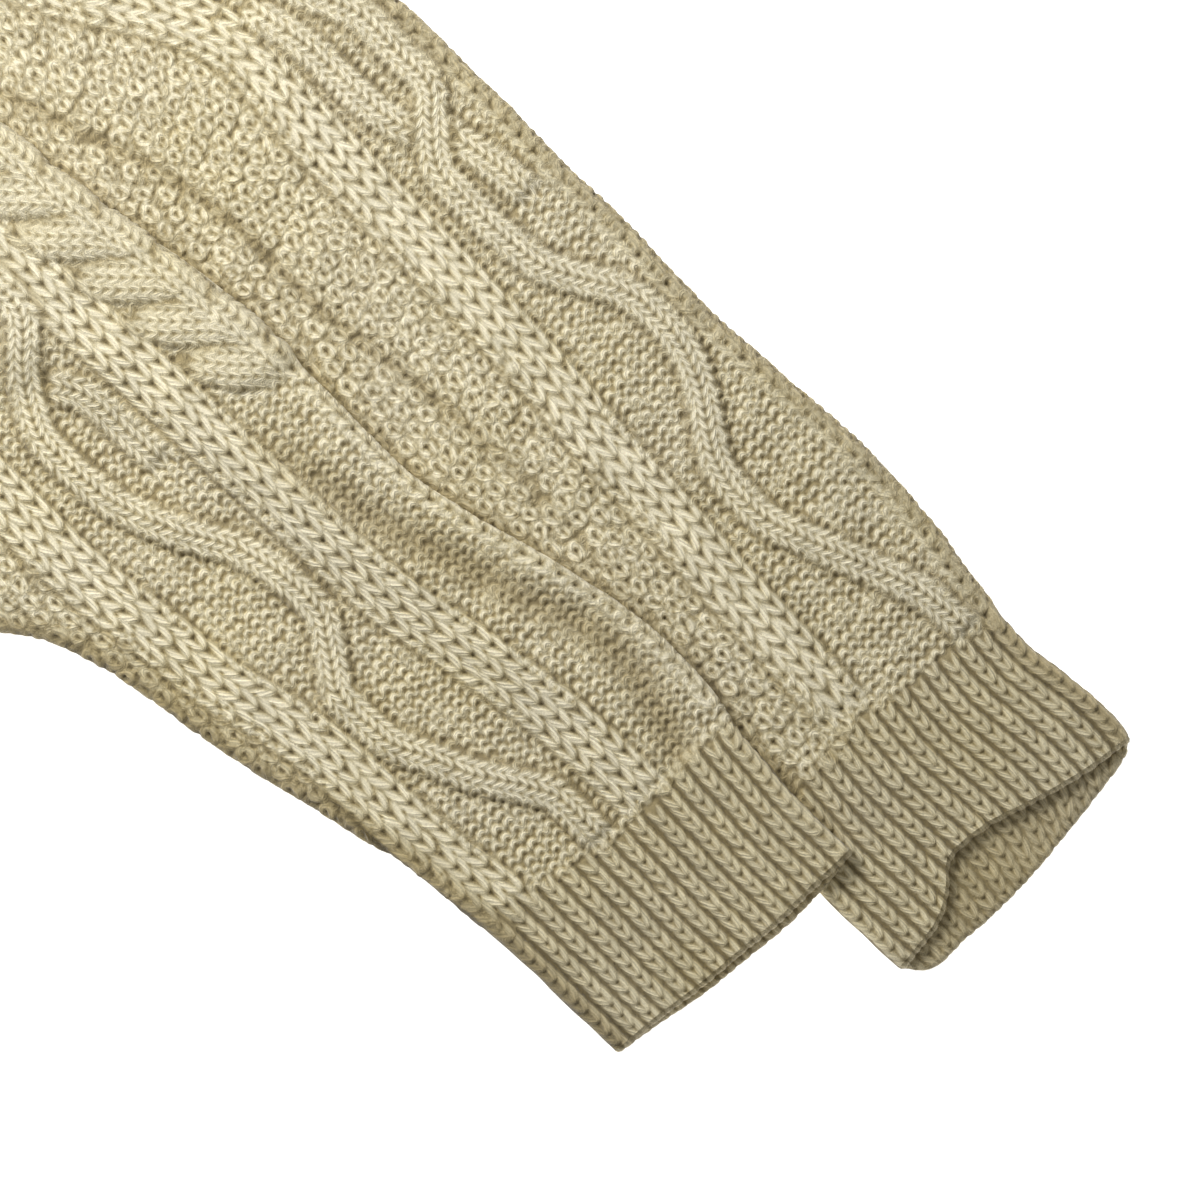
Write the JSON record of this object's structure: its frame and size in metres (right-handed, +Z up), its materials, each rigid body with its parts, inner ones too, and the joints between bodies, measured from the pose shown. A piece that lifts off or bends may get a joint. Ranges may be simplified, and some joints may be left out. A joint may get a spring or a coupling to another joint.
{
  "type": "cable knit sweater",
  "caption": "Chunky cable knit pullover, folded in half lengthwise and laid flat, both long sleeves out to one side with the upper one lying over the lower.",
  "frame": {"origin": "middle of the laid-out pullover's footprint, on the surface it lies on", "axes": "+Z up from the surface, +X from the body's fold towards the cuffs, +Y from the hem towards the neck"},
  "size_m": [0.7143, 0.6772, 0.0181],
  "materials": {
    "knit": "matte wool and cotton yarn"
  },
  "bodies": {
    "root": {"front": "knit", "back": "knit", "sleeve_upper": "knit", "sleeve_lower": "knit", "neckband": "knit"}
  },
  "joints": []
}
